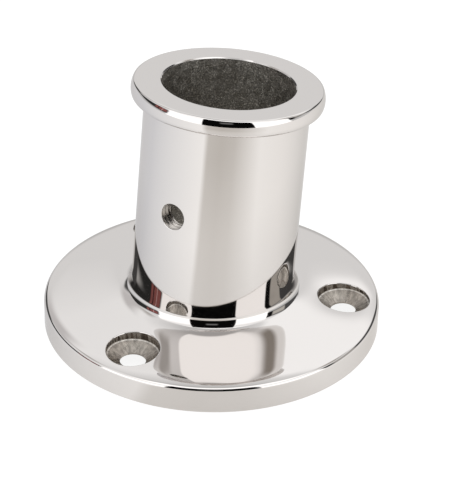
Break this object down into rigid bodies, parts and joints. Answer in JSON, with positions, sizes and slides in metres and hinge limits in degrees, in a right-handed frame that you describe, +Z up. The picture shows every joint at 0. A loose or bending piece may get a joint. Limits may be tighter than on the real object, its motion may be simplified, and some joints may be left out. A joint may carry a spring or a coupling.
{
  "type": "raked tube socket base flange",
  "caption": "Round flange with a short socket for a tube, leaning slightly back from its set-screw hole, with a rolled collar at the mouth and countersunk base screws.",
  "frame": {"origin": "centre of the flange's foot plane, where it stands on the deck", "axes": "+Z up, square to the flange; -Y towards the set screw and the first base screw; +Y the way the socket leans; +X to the right as seen from the set screw"},
  "size_m": [0.066, 0.066, 0.052],
  "materials": {
    "polished_stainless": "polished"
  },
  "bodies": {
    "root": {"socket_base": "polished_stainless"}
  },
  "joints": []
}
